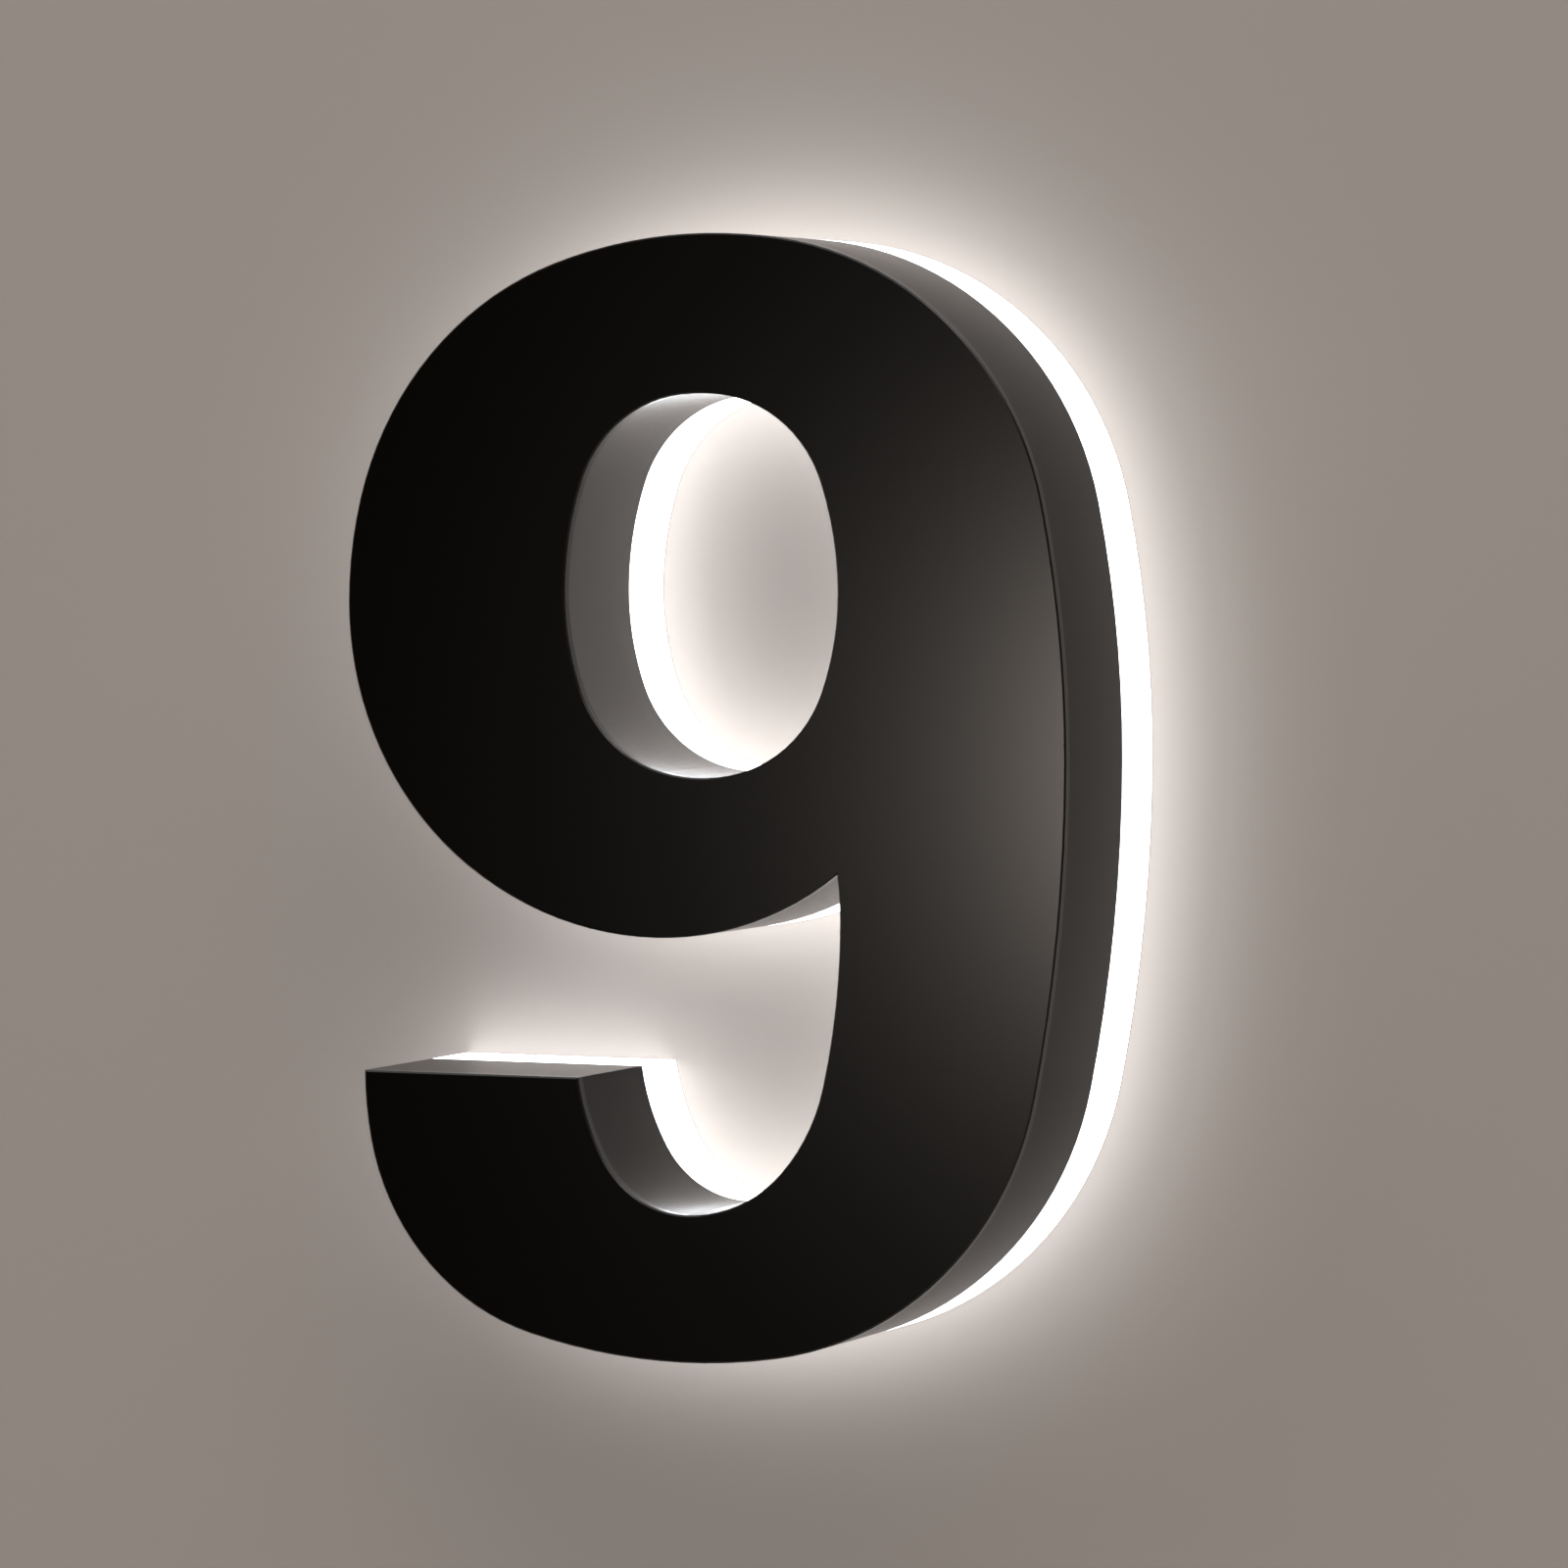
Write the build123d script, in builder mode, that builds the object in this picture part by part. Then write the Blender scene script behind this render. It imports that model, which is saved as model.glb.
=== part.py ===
"""Illuminated house number: a figure nine with a black metal cap and a glowing opal edge.

The figure hangs flat on a wall. Y = 0 is the wall, +Y runs into the wall, the face looks along -Y,
+Z is up and +X is the reader's right. X = 0 and Z = 0 are the middle of the figure's outline.
All sizes are millimetres. A distance called a depth is counted from the wall towards the reader.
"""

import os
from math import copysign, cos, pi, radians, sin, sqrt

from build123d import *

os.makedirs("parts", exist_ok=True)

# ---------------------------------------------------------------- the figure's outline
figure_height = 200.0
figure_width = 138.4
crown_x = 1.5              # the highest point of the bowl
foot_x = -3.5              # the lowest point of the tail
left_flank_z = 34.5        # where the bowl is widest on the left
right_flank_z = 7.5        # where the figure is widest on the right
top_stroke = 28.2          # above the counter
waist_stroke = 28.5        # between the counter and the bowl's underside
side_stroke = 42.9         # beside the counter
foot_stroke = 26.3         # under the hook's pocket
stem_width = 42.4          # beside the hook's pocket
counter_height = 67.9
counter_waist = 35.2       # widest point of the counter, below its top
bowl_bottom_x = -8.5
notch_inset = 0.55         # inner corner of bowl and stem, left of the stem's narrowest point
notch_rise = 11.95         # how far that corner lies above the bowl's underside
stem_flank_drop = 8.35     # the stem's narrowest point, below that corner
pocket_x = -2.7            # the lowest point of the hook's pocket
terminal_width = 42.4      # the flat end of the tail
terminal_inset = 3.0       # the terminal's outer corner, in from the figure's widest point
terminal_height = 50.1     # above the foot
terminal_splay = 8.3       # degrees by which the pocket's wall leans away from upright there
pocket_lean = 0.42         # share of the pocket's left side taken by its upper arc

# each quarter of an oval: its shoulder's radius as a share of the quarter's shorter side,
# then the turn of its crown and of its flank in degrees
upper_left = (0.916, 19.0, 14.5)
lower_left = (0.973, 36.0, 14.0)
upper_right = (0.871, 8.0, 11.5)
lower_right = (0.825, 9.5, 11.3)
hook_outside = (0.868, 15.0, 11.0)
pocket_right = (1.153, 48.0, 13.0)
counter_top = (0.875, 6.0, 19.0)
counter_bottom = (0.875, 15.0, 20.0)

# ---------------------------------------------------------------- depths and sheet thicknesses
band_depth = 15.0          # the glowing edge, from the wall to the cap
cap_depth = 28.0
face_thickness = 2.0
return_thickness = 1.8
face_edge = 0.3            # broken edge round the face
ring_wall = 6.0
spigot_height = 6.0        # how far the opal rings reach into the cap
spigot_clearance = 0.2
rebate_width = 3.0         # seat of the back plate in the rings
plate_thickness = 3.0
plate_clearance = 0.2
liner_thickness = 0.5      # white reflector behind the face
liner_clearance = 0.3
seal_width = 1.2           # seal cord in the groove round each spigot
seal_inset = 0.8           # depth of that groove
seal_lift = 0.6            # groove, above the band's shoulder

# ---------------------------------------------------------------- fastenings
lug_radius = 3.6
lug_height = 9.0
bore_depth = 7.0           # room in the lug for insert and screw end
lug_inset = 8.2            # lug centres, in from the figure's edge
insert_radius = 2.1
insert_length = 5.0
screw_radius = 1.5
screw_head_radius = 2.9
screw_length = 7.5
fit_clearance = 0.05       # screw in insert, insert in lug
set_screw_radius = 1.5
set_screw_sink = 0.1       # both ends, under the return's surfaces
set_screw_depth = 4.2      # set screws, from the cap's rear edge
outer_lug_stations = (0.09, 0.19, 0.245, 0.395, 0.47, 0.77, 0.93)   # shares of the outline, clockwise
counter_lug_angles = (0, 90, 180, 238)    # degrees round the counter
set_screw_stations = (0.36, 0.46, 0.87, 0.97)

# ---------------------------------------------------------------- wall fixing, cable and drain
wall_hole_radius = 2.5
wall_hole_spacing_x = 84.0
wall_hole_spacing_z = 124.0
cable_reach = 12.8         # cable hole, right of the terminal block
cable_rise = 2.1           # and above it
cable_radius = 3.0
grommet_neck = 5.0         # radius of the grommet in the plate's hole
grommet_flange = 6.5
grommet_flange_thickness = 1.2
drain_radius = 1.5
drain_spacing = 30.0
drain_height = 9.0         # above the foot

# ---------------------------------------------------------------- light modules
module_length = 22.0
module_width = 9.0
module_height = 3.4
module_corner = 1.6
pedestal_height = 1.0
pedestal_margin = 1.2
pedestal_taper = 12.0      # degrees
lens_radius = 2.9
lens_rim = 0.6
lens_rise = 1.9
lens_pitch = 10.0
lead_width = 2.6
lead_height = 1.3
lead_lift = 0.9            # underside of the leads, above the plate
terminal_block_length = 10.0
terminal_block_width = 8.0
terminal_block_height = 7.0
terminal_block_angle = -60.0   # degrees round the counter, where the waist takes the block
terminal_block_turn = 35.0
terminal_block_corner = 0.6
terminal_screw_radius = 1.4
terminal_screw_height = 1.2
terminal_screw_sink = 2.0
terminal_pitch = 4.0
terminal_mouth_radius = 1.1
terminal_mouth_depth = 3.0
bowl_module_angles = (264, 224, 180, 120, 60, 0)            # in the order of the wiring
tail_path_z = -38.0         # middle height of the oval that the tail's modules follow
tail_module_angles = (12, -55, -88, -120)


# ---------------------------------------------------------------- places worked out from the sizes
crown = Vector(crown_x, figure_height / 2)
foot = Vector(foot_x, -figure_height / 2)
left_flank = Vector(-figure_width / 2, left_flank_z)
right_flank = Vector(figure_width / 2, right_flank_z)
counter_top_z = figure_height / 2 - top_stroke
counter_bottom_z = counter_top_z - counter_height
counter_flank_z = counter_top_z - counter_waist
counter_half_width = figure_width / 2 - side_stroke
bowl_bottom = Vector(bowl_bottom_x, counter_bottom_z - waist_stroke)
stem_flank_x = figure_width / 2 - stem_width
notch = Vector(stem_flank_x - notch_inset, bowl_bottom.Y + notch_rise)
stem_flank = Vector(stem_flank_x, notch.Y - stem_flank_drop)
pocket = Vector(pocket_x, foot.Y + foot_stroke)
terminal_outer = Vector(left_flank.X + terminal_inset, foot.Y + terminal_height)
terminal_inner = terminal_outer + Vector(terminal_width, 0)
pocket_heading = Vector(0, -1).rotate(Axis.Z, terminal_splay)

face_back = band_depth + cap_depth - face_thickness
spigot_inset = return_thickness + spigot_clearance
plate_inset = ring_wall - rebate_width

right = Vector(1, 0)
up = Vector(0, 1)


# ---------------------------------------------------------------- lines of the outline
def arc_piece(start, heading, end):
    """An arc that leaves start in the heading, or a line where end lies straight ahead."""
    chord = end - start
    if abs(heading.cross(chord).Z) < 1e-6 * chord.length:
        Line(start, end)
    else:
        TangentArc(start, end, tangent=heading)


def two_arcs(start, start_heading, end, end_heading, lean=0.5):
    """Two arcs from start to end that meet tangent. lean is the share of the first."""
    chord = end - start
    ratio = lean / (1 - lean)
    bend = 2 * ratio * (1 - start_heading.dot(end_heading))
    reach = 2 * (ratio * chord.dot(start_heading) + chord.dot(end_heading))
    second = 2 * chord.dot(chord) / (reach + sqrt(reach**2 + 4 * bend * chord.dot(chord)))
    first = ratio * second
    middle = ((start + start_heading * first) * second + (end - end_heading * second) * first) * (
        1 / (first + second)
    )
    half = (middle - start).normalized()
    arc_piece(start, start_heading, middle)
    arc_piece(middle, half * (2 * half.dot(start_heading)) - start_heading, end)


def oval_quarter(crown_point, flank_point, shape):
    """A quarter of an oval as three tangent arcs: level at the crown, upright at the flank.

    The arcs turn by crown_turn, by what is left of 90 degrees and by flank_turn. The shoulder's
    radius is given; the other two follow from the quarter's width and height.
    """
    shoulder_share, crown_turn, flank_turn = shape
    across = Vector(copysign(1, flank_point.X - crown_point.X), 0)
    along = Vector(0, copysign(1, flank_point.Y - crown_point.Y))
    width = abs(flank_point.X - crown_point.X)
    height = abs(flank_point.Y - crown_point.Y)
    shoulder_radius = shoulder_share * min(width, height)
    turns = [0, radians(crown_turn), radians(90 - flank_turn), radians(90)]
    run = [sin(b) - sin(a) for a, b in zip(turns, turns[1:])]
    drop = [cos(a) - cos(b) for a, b in zip(turns, turns[1:])]
    spare_width = width - shoulder_radius * run[1]
    spare_height = height - shoulder_radius * drop[1]
    scale = run[0] * drop[2] - run[2] * drop[0]
    crown_radius = (spare_width * drop[2] - spare_height * run[2]) / scale
    flank_radius = (spare_height * run[0] - spare_width * drop[0]) / scale
    point = crown_point
    for radius, turn, step, fall in zip((crown_radius, shoulder_radius, flank_radius), turns, run, drop):
        after = point + across * (radius * step) + along * (radius * fall)
        TangentArc(point, after, tangent=across * cos(turn) + along * sin(turn))
        point = after


# The outer outline, clockwise from the crown.
with BuildSketch() as outline:
    with BuildLine() as outline_line:
        oval_quarter(crown, right_flank, upper_right)
        oval_quarter(foot, right_flank, lower_right)
        oval_quarter(foot, terminal_outer, hook_outside)
        Line(terminal_outer, terminal_inner)
        two_arcs(terminal_inner, pocket_heading, pocket, right, pocket_lean)
        oval_quarter(pocket, stem_flank, pocket_right)
        TangentArc(stem_flank, notch, tangent=up)
        TangentArc(bowl_bottom, notch, tangent=right)
        oval_quarter(bowl_bottom, left_flank, lower_left)
        oval_quarter(crown, left_flank, upper_left)
    make_face()

# The counter: the hole in the bowl.
with BuildSketch() as counter:
    with BuildLine():
        for side in (-1, 1):
            flank = Vector(side * counter_half_width, counter_flank_z)
            oval_quarter(Vector(0, counter_top_z), flank, counter_top)
            oval_quarter(Vector(0, counter_bottom_z), flank, counter_bottom)
    make_face()


def figure(inset=0.0, mode=Mode.ADD):
    """The figure's outline as a face, drawn in by inset."""
    if inset:
        offset(outline.sketch, amount=-inset, kind=Kind.ARC, mode=mode)
    else:
        add(outline.sketch, mode=mode)


def hole(margin=0.0, mode=Mode.SUBTRACT):
    """The counter as a face, let out by margin."""
    if margin:
        offset(counter.sketch, amount=margin, kind=Kind.ARC, mode=mode)
    else:
        add(counter.sketch, mode=mode)


def layer(depth):
    """The plane parallel to the wall at that depth; extrusions from it go towards the reader."""
    return Plane.XZ.offset(depth)


def outer_band(depth, height, inset, inner_inset, mode=Mode.ADD):
    """A wall that follows the outer outline, between two insets."""
    with BuildSketch(layer(depth)) as section:
        figure(inset)
        figure(inner_inset, mode=Mode.SUBTRACT)
    extrude(section.sketch, amount=height, mode=mode)


def counter_band(depth, height, margin, outer_margin, mode=Mode.ADD):
    """A wall that follows the counter, between two margins."""
    with BuildSketch(layer(depth)) as section:
        hole(outer_margin, mode=Mode.ADD)
        hole(margin)
    extrude(section.sketch, amount=height, mode=mode)


def facing_wall(points, depth=0.0):
    """Planes at these points whose normals look into the wall."""
    return [Plane(origin=(p.X, -depth, p.Y), x_dir=(-1, 0, 0), z_dir=(0, 1, 0)) for p in points]


def on_oval(centre, half_width, half_height, angle):
    """Point and heading at an angle round an oval, for travel clockwise."""
    c, s = cos(radians(angle)), sin(radians(angle))
    point = centre + Vector(half_width * c, half_height * s)
    return point, Vector(half_width * s, -half_height * c).normalized()


def finish(build, name):
    """Names the piece and writes its file."""
    build.part.label = name
    export_step(build.part, f"parts/{name}.step")


# ---------------------------------------------------------------- places of lugs, screws and modules
outline_wire = Wire(outline_line.edges())
bowl_centre = Vector(0, (counter_top_z + counter_bottom_z) / 2)
outer_lugs = []
for station in outer_lug_stations:
    heading = outline_wire % station
    outer_lugs.append(outline_wire @ station + Vector(heading.Y, -heading.X) * lug_inset)
counter_lugs = [
    on_oval(bowl_centre, counter_half_width + lug_inset, counter_height / 2 + lug_inset, angle)[0]
    for angle in counter_lug_angles
]
lugs = outer_lugs + counter_lugs
wall_holes = [
    Vector(x * wall_hole_spacing_x / 2, z * wall_hole_spacing_z / 2) for x in (-1, 1) for z in (-1, 1)
]
counter_edge = on_oval(bowl_centre, counter_half_width, counter_height / 2, terminal_block_angle)[0]
block_centre = (counter_edge + notch) / 2
cable_entry = block_centre + Vector(cable_reach, cable_rise)
drains = [Vector(foot.X + side * drain_spacing / 2, foot.Y + drain_height) for side in (-1, 1)]

bowl_path_width = counter_half_width + side_stroke / 2
bowl_path_top = counter_top_z + top_stroke / 2
bowl_path_bottom = counter_bottom_z - waist_stroke / 2
bowl_path_centre = Vector(0, (bowl_path_top + bowl_path_bottom) / 2)
hook_x = terminal_outer.X + terminal_width / 2
stem_x = stem_flank.X + stem_width / 2
tail_path_centre = Vector((hook_x + stem_x) / 2, tail_path_z)
modules = [
    on_oval(bowl_path_centre, bowl_path_width, (bowl_path_top - bowl_path_bottom) / 2, angle)
    for angle in bowl_module_angles
]
tail_modules = [
    on_oval(tail_path_centre, (stem_x - hook_x) / 2, tail_path_z - foot.Y - foot_stroke / 2, angle)
    for angle in tail_module_angles
]
modules.append(((modules[-1][0] + tail_modules[0][0]) / 2, -up))
modules += tail_modules

# ---------------------------------------------------------------- the cap
with BuildPart() as face_plate:
    with BuildSketch(layer(face_back)):
        figure()
        hole()
    extrude(amount=face_thickness)
    chamfer(face_plate.faces().sort_by(Axis.Y)[0].edges(), length=face_edge)
finish(face_plate, "face_plate")

# The returns are strips of sheet bent to the outline and welded behind the face.
set_screws = []
for station in set_screw_stations:
    heading = outline_wire % station
    spot = outline_wire @ station
    inward = Vector(heading.Y, -heading.X)
    set_screws.append(
        Plane(
            origin=(spot.X, -band_depth - set_screw_depth, spot.Y),
            x_dir=(0, 1, 0),
            z_dir=(inward.X, 0, inward.Y),
        )
    )

with BuildPart() as outer_return:
    outer_band(band_depth, cap_depth - face_thickness, 0, return_thickness)
    with Locations(*set_screws):
        Cylinder(set_screw_radius + fit_clearance, 4 * return_thickness, mode=Mode.SUBTRACT)
finish(outer_return, "outer_return")

with BuildPart() as counter_return:
    counter_band(band_depth, cap_depth - face_thickness, 0, return_thickness)
finish(counter_return, "counter_return")

# The set screws are backed off, so that they end inside the return's thickness.
with BuildPart() as cap_set_screws:
    with Locations(*[plane.offset(set_screw_sink) for plane in set_screws]):
        Cylinder(
            set_screw_radius,
            return_thickness - 2 * set_screw_sink,
            align=(Align.CENTER, Align.CENTER, Align.MIN),
        )
finish(cap_set_screws, "cap_set_screws")

with BuildPart() as face_liner:
    with BuildSketch(layer(face_back - liner_thickness)):
        figure(return_thickness + liner_clearance)
        hole(return_thickness + liner_clearance)
    extrude(amount=liner_thickness)
finish(face_liner, "face_liner")


# ---------------------------------------------------------------- the opal rings
def discs(points, depth, radius, height, mode=Mode.ADD):
    """Round studs or bores at these points, from the depth towards the reader."""
    with BuildSketch(layer(depth)) as section:
        with Locations(*points):
            Circle(radius)
    extrude(section.sketch, amount=height, mode=mode)


def lugs_at(points):
    """Lugs in front of the back plate, bored for threaded inserts and the screws' ends."""
    discs(points, plate_thickness, lug_radius, lug_height)
    discs(points, plate_thickness, insert_radius + fit_clearance, insert_length, mode=Mode.SUBTRACT)
    discs(points, plate_thickness, screw_radius + fit_clearance, bore_depth, mode=Mode.SUBTRACT)


with BuildPart() as outer_light_ring:
    outer_band(0, plate_thickness, 0, plate_inset)
    outer_band(plate_thickness, band_depth - plate_thickness, 0, ring_wall)
    outer_band(band_depth, spigot_height, spigot_inset, ring_wall)
    outer_band(
        band_depth + seal_lift, seal_width, spigot_inset, spigot_inset + seal_inset, mode=Mode.SUBTRACT
    )
    lugs_at(outer_lugs)
finish(outer_light_ring, "outer_light_ring")

with BuildPart() as counter_light_ring:
    counter_band(0, plate_thickness, 0, plate_inset)
    counter_band(plate_thickness, band_depth - plate_thickness, 0, ring_wall)
    counter_band(band_depth, spigot_height, spigot_inset, ring_wall)
    counter_band(
        band_depth + seal_lift, seal_width, spigot_inset, spigot_inset + seal_inset, mode=Mode.SUBTRACT
    )
    lugs_at(counter_lugs)
finish(counter_light_ring, "counter_light_ring")

# The seal cords lie in the spigots' grooves, flush with them, and keep rain out of the joint.
seal_depth = band_depth + seal_lift + fit_clearance
seal_outside = spigot_inset + fit_clearance
seal_inside = spigot_inset + seal_inset - fit_clearance

with BuildPart() as outer_cap_seal:
    outer_band(seal_depth, seal_width - 2 * fit_clearance, seal_outside, seal_inside)
finish(outer_cap_seal, "outer_cap_seal")

with BuildPart() as counter_cap_seal:
    counter_band(seal_depth, seal_width - 2 * fit_clearance, seal_outside, seal_inside)
finish(counter_cap_seal, "counter_cap_seal")

with BuildPart() as ring_inserts:
    with BuildSketch(layer(plate_thickness)):
        with Locations(*lugs):
            Circle(insert_radius)
            Circle(screw_radius + fit_clearance, mode=Mode.SUBTRACT)
    extrude(amount=insert_length)
finish(ring_inserts, "ring_inserts")


# ---------------------------------------------------------------- the back plate and what it holds
with BuildPart() as back_plate:
    with BuildSketch(layer(0)):
        figure(plate_inset + plate_clearance)
        hole(plate_inset + plate_clearance)
        with Locations(*wall_holes):
            Circle(wall_hole_radius, mode=Mode.SUBTRACT)
        with Locations(cable_entry):
            Circle(grommet_neck + fit_clearance, mode=Mode.SUBTRACT)
        with Locations(*drains):
            Circle(drain_radius, mode=Mode.SUBTRACT)
    extrude(amount=plate_thickness)
    with Locations(*facing_wall(lugs)):
        CounterSinkHole(screw_radius + plate_clearance, screw_head_radius + fit_clearance, counter_sink_angle=90)
finish(back_plate, "back_plate")

with BuildPart() as plate_screws:
    with Locations(*facing_wall(lugs)):
        Cylinder(screw_radius, screw_length, align=(Align.CENTER, Align.CENTER, Align.MAX))
        Cone(
            screw_radius,
            screw_head_radius,
            screw_head_radius - screw_radius,
            align=(Align.CENTER, Align.CENTER, Align.MAX),
        )
finish(plate_screws, "plate_screws")

with BuildPart() as cable_grommet:
    with BuildSketch(layer(0)):
        with Locations(cable_entry):
            Circle(grommet_neck)
    extrude(amount=plate_thickness)
    with BuildSketch(layer(plate_thickness)):
        with Locations(cable_entry):
            Circle(grommet_flange)
    extrude(amount=grommet_flange_thickness)
    with BuildSketch(layer(0)):
        with Locations(cable_entry):
            Circle(cable_radius)
    extrude(amount=plate_thickness + grommet_flange_thickness, mode=Mode.SUBTRACT)
finish(cable_grommet, "cable_grommet")


def seat(point, heading, depth):
    """A plane at that depth, its X along the heading and its normal towards the reader."""
    return Plane(origin=(point.X, -depth, point.Y), x_dir=(heading.X, 0, heading.Y), z_dir=(0, -1, 0))


pedestal_length = module_length - 2 * pedestal_margin
pedestal_width = module_width - 2 * pedestal_margin
lens_base = plate_thickness + module_height + pedestal_height

# A lens is a low dome on a short rim.
with BuildPart() as lens:
    with BuildSketch(Plane.XZ):
        with BuildLine():
            Polyline((0, lens_rise), (0, 0), (lens_radius, 0), (lens_radius, lens_rim))
            TangentArc((0, lens_rise), (lens_radius, lens_rim), tangent=(1, 0))
        make_face()
    revolve(axis=Axis.Z)

for number, (point, heading) in enumerate(modules, start=1):
    with BuildPart() as led_module:
        with BuildSketch(seat(point, heading, plate_thickness)):
            RectangleRounded(module_length, module_width, module_corner)
        extrude(amount=module_height)
        with BuildSketch(seat(point, heading, plate_thickness + module_height)):
            RectangleRounded(pedestal_length, pedestal_width, module_corner)
        extrude(amount=pedestal_height, taper=pedestal_taper)
    finish(led_module, f"led_module_{number:02d}")

    with BuildPart() as led_lenses:
        with Locations(seat(point, heading, lens_base)):
            with GridLocations(lens_pitch, 0, 2, 1):
                add(lens.part)
    finish(led_lenses, f"led_lenses_{number:02d}")

# The supply reaches a two-way terminal block beside the cable's grommet.
block_heading = Vector(-1, 0).rotate(Axis.Z, terminal_block_turn)
block_top = plate_thickness + terminal_block_height

with BuildPart() as terminal_block:
    with BuildSketch(seat(block_centre, block_heading, plate_thickness)):
        RectangleRounded(terminal_block_length, terminal_block_width, terminal_block_corner)
    extrude(amount=terminal_block_height)
    with BuildSketch(seat(block_centre, block_heading, block_top)):
        with GridLocations(0, terminal_pitch, 1, 2):
            Circle(terminal_screw_radius + fit_clearance)
    extrude(amount=-terminal_screw_sink, mode=Mode.SUBTRACT)
    mouths = seat(block_centre - block_heading * (terminal_block_length / 2), block_heading, block_top / 2)
    with Locations(mouths):
        with GridLocations(0, terminal_pitch, 1, 2):
            Cylinder(
                terminal_mouth_radius,
                terminal_mouth_depth,
                rotation=(0, 90, 0),
                align=(Align.CENTER, Align.CENTER, Align.MIN),
                mode=Mode.SUBTRACT,
            )
finish(terminal_block, "terminal_block")

with BuildPart() as terminal_screws:
    with BuildSketch(seat(block_centre, block_heading, block_top - terminal_screw_sink)):
        with GridLocations(0, terminal_pitch, 1, 2):
            Circle(terminal_screw_radius)
    extrude(amount=terminal_screw_height)
finish(terminal_screws, "terminal_screws")

# Flat twin leads run from the terminal block along the chain of modules.
lead_depth = plate_thickness + lead_lift + lead_height / 2
section_area = (lead_width - lead_height) * lead_height + pi * (lead_height / 2) ** 2
stops = [(block_centre, block_heading, terminal_block_length)]
stops += [(point, heading, module_length) for point, heading in modules]
expected = 0.0
with BuildPart() as module_leads:
    for (point, heading, length), (after, after_heading, after_length) in zip(stops, stops[1:]):
        start = point + heading * (length / 2)
        end = after - after_heading * (after_length / 2)
        with BuildLine() as route:
            two_arcs(start, heading, end, after_heading)
        path = layer(lead_depth).from_local_coords(route.wire())
        with BuildSketch(
            Plane(
                origin=(start.X, -lead_depth, start.Y),
                x_dir=(-heading.Y, 0, heading.X),
                z_dir=(heading.X, 0, heading.Y),
            )
        ) as lead_section:
            SlotOverall(lead_width, lead_height)
        sweep(lead_section.sketch, path=path)
        expected += section_area * path.length
finish(module_leads, "module_leads")
print(f"leads: volume {module_leads.part.volume:.1f}, section times length {expected:.1f}")
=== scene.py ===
# %% [markdown]
# # An illuminated house number, dressed for a picture
# The sign is a figure nine that hangs flat on a wall. A black metal cap covers a band of opal
# acrylic, and the lights inside make that band glow and throw a halo on the wall. The CAD frame
# brings every solid in its place, in metres, with +X to the reader's right, +Z up and +Y into the
# wall. This lesson adds the finishes, the small pieces that were left out of the CAD, the light
# and the camera.

# %% Load the frame
from math import pi, radians

import bmesh
import bpy
import numpy as np
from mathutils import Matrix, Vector


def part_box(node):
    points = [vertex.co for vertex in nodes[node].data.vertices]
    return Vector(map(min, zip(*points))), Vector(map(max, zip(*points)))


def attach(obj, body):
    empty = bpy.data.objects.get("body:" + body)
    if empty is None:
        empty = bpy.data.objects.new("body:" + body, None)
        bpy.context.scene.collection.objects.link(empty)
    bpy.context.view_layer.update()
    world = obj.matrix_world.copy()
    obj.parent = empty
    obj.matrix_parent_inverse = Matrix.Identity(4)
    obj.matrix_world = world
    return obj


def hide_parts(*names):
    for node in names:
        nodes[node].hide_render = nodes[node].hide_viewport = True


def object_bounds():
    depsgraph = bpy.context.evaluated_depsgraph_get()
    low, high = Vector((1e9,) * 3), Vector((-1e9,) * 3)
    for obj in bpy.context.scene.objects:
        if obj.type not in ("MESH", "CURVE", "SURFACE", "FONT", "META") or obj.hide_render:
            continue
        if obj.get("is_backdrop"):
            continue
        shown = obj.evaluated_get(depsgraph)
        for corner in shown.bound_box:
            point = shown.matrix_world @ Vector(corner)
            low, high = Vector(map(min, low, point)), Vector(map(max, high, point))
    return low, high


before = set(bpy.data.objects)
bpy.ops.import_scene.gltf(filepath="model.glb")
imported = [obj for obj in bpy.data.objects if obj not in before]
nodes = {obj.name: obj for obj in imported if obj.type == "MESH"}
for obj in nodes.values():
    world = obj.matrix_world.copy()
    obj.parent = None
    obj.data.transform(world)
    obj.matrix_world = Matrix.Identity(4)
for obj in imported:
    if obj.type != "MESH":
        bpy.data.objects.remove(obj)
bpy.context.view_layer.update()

MM = 0.001

# %% [markdown]
# ## The camera
# The photograph was taken from the sign's right and a little above its middle, with a long lens.
# Its view was fitted to the figure's outline: the yaw, the pitch and the focal length gave the
# place of the camera in this frame. The sensor is 36 mm wide and the picture is square.

# %% Set the camera
CAMERA_PLACE = Vector((0.5215, -1.2236, 0.0581))
CAMERA_AIM = Vector((-0.39310, 0.91850, -0.04275))
LENS_MM, SENSOR_MM = 167.9, 36.0
FACE_MIDDLE = Vector((0.016, -0.043, 0.003))

camera_data = bpy.data.cameras.new("camera")
camera_data.lens = LENS_MM
camera_data.sensor_width = SENSOR_MM
camera = bpy.data.objects.new("camera", camera_data)
bpy.context.scene.collection.objects.link(camera)
camera.location = CAMERA_PLACE
camera.rotation_euler = CAMERA_AIM.to_track_quat("-Z", "Y").to_euler()
bpy.context.scene.camera = camera
print("camera to the face:", round((CAMERA_PLACE - FACE_MIDDLE).length, 3), "m")

# %% [markdown]
# ## Helpers for finishes
# Every finish below is a small network of shader nodes. Colours are written as the hex values
# that a screen shows, and one function turns them to the linear light that a shader needs. One
# more function adds a node with its options, its values and its links.


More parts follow.
